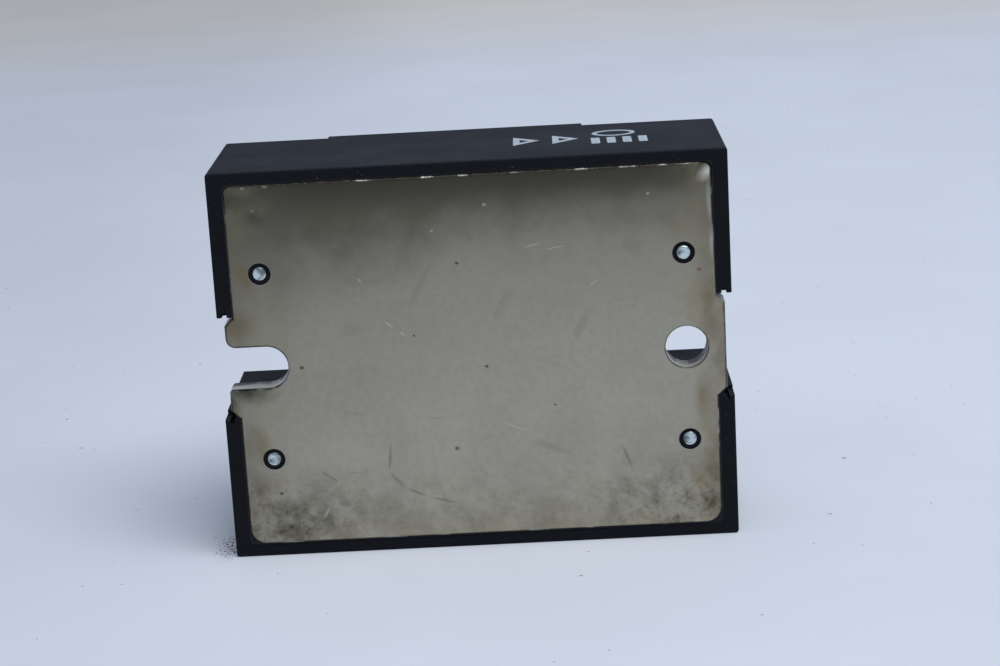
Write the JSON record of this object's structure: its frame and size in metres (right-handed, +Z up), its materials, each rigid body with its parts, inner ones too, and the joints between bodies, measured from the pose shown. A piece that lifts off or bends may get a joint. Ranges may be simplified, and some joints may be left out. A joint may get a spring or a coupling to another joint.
{
  "type": "solid state relay",
  "caption": "Panel-mount solid state relay: black moulded housing on a flat metal base plate with a mounting hole and an open slot, and screw terminals at both ends.",
  "frame": {"origin": "centre of the base plate's outer face, which sits on the heat sink", "axes": "+X towards the load end with the round mounting hole, +Y from the base plate towards the terminals, +Z up along the height of the relay as it stands on one long side"},
  "size_m": [0.058, 0.0215, 0.045],
  "materials": {
    "housing_black": "moulded, glass-filled thermoplastic, fine matt grain",
    "plate_metal": "punched and plated sheet, stained and lightly scratched by use",
    "pin_steel": "bright plated, domed end",
    "sealant_black": "smooth cured sealant",
    "resin_black": "cast epoxy",
    "ceramic_white": "fired alumina",
    "copper_bare": "bare copper",
    "silicon_dark": "polished silicon with metallised top",
    "terminal_plated": "nickel-plated copper alloy",
    "screw_plated": "nickel-plated steel",
    "nut_plated": "yellow zinc-plated steel",
    "board_green": "glass-epoxy board with solder mask",
    "package_black": "moulded epoxy package",
    "package_white": "moulded white package",
    "resistor_dark": "thick-film with tinned ends",
    "resistor_blue": "lacquered",
    "capacitor_yellow": "moulded box",
    "wire_tinned": "tinned copper",
    "lamp_red": "tinted epoxy",
    "lens_red": "clear tinted window",
    "label_grey": "blank printed film"
  },
  "bodies": {
    "relay_body": {"housing": "housing_black", "base_plate": "plate_metal", "base_pins": "pin_steel", "edge_sealant": "sealant_black", "potting_resin": "resin_black", "ceramic_substrate": "ceramic_white", "substrate_copper": "copper_bare", "thyristor_chips": "silicon_dark", "chip_straps": "copper_bare", "board_leads": "wire_tinned", "load_nuts": "nut_plated", "control_nuts": "nut_plated", "control_board": "board_green", "opto_driver": "package_white", "opto_pins": "wire_tinned", "chip_resistors": "resistor_dark", "input_diode": "package_black", "drive_transistor": "package_black", "snubber_capacitor": "capacitor_yellow", "snubber_resistor": "resistor_blue", "snubber_wires": "wire_tinned", "indicator_led": "lamp_red", "indicator_lens": "lens_red", "top_label": "label_grey", "load_terminal_1": "terminal_plated", "load_terminal_2": "terminal_plated", "control_terminal_plus": "terminal_plated", "control_terminal_minus": "terminal_plated"},
    "load_clamp_1": {"load_clamp_1": "terminal_plated"},
    "load_screw_1": {"load_screw_1": "screw_plated"},
    "load_clamp_2": {"load_clamp_2": "terminal_plated"},
    "load_screw_2": {"load_screw_2": "screw_plated"},
    "control_clamp_plus": {"control_clamp_plus": "terminal_plated"},
    "control_screw_plus": {"control_screw_plus": "screw_plated"},
    "control_clamp_minus": {"control_clamp_minus": "terminal_plated"},
    "control_screw_minus": {"control_screw_minus": "screw_plated"}
  },
  "joints": [
    {"name": "load_clamp_1_lift", "type": "slide", "parent": "relay_body", "child": "load_clamp_1", "axis": [0, 1, 0], "range_m": [0, 0.0032]},
    {"name": "load_screw_1_turn", "type": "hinge", "parent": "load_clamp_1", "child": "load_screw_1", "pos_m": [0.0214, 0.014, 0.0142], "axis": [0, 1, 0], "range_deg": [0, 1645.8]},
    {"name": "load_clamp_2_lift", "type": "slide", "parent": "relay_body", "child": "load_clamp_2", "axis": [0, 1, 0], "range_m": [0, 0.0032]},
    {"name": "load_screw_2_turn", "type": "hinge", "parent": "load_clamp_2", "child": "load_screw_2", "pos_m": [0.0214, 0.014, -0.0142], "axis": [0, 1, 0], "range_deg": [0, 1645.8]},
    {"name": "control_clamp_plus_lift", "type": "slide", "parent": "relay_body", "child": "control_clamp_plus", "axis": [0, 1, 0], "range_m": [0, 0.003]},
    {"name": "control_screw_plus_turn", "type": "hinge", "parent": "control_clamp_plus", "child": "control_screw_plus", "pos_m": [-0.022, 0.0136, 0.0142], "axis": [0, 1, 0], "range_deg": [0, 1800]},
    {"name": "control_clamp_minus_lift", "type": "slide", "parent": "relay_body", "child": "control_clamp_minus", "axis": [0, 1, 0], "range_m": [0, 0.003]},
    {"name": "control_screw_minus_turn", "type": "hinge", "parent": "control_clamp_minus", "child": "control_screw_minus", "pos_m": [-0.022, 0.0136, -0.0142], "axis": [0, 1, 0], "range_deg": [0, 1800]}
  ],
  "couplings": [
    {"joint": "load_screw_1_turn", "follows": "load_clamp_1_lift", "rad_per_m": 8976},
    {"joint": "load_screw_2_turn", "follows": "load_clamp_2_lift", "rad_per_m": 8976},
    {"joint": "control_screw_plus_turn", "follows": "control_clamp_plus_lift", "rad_per_m": 10472},
    {"joint": "control_screw_minus_turn", "follows": "control_clamp_minus_lift", "rad_per_m": 10472}
  ]
}
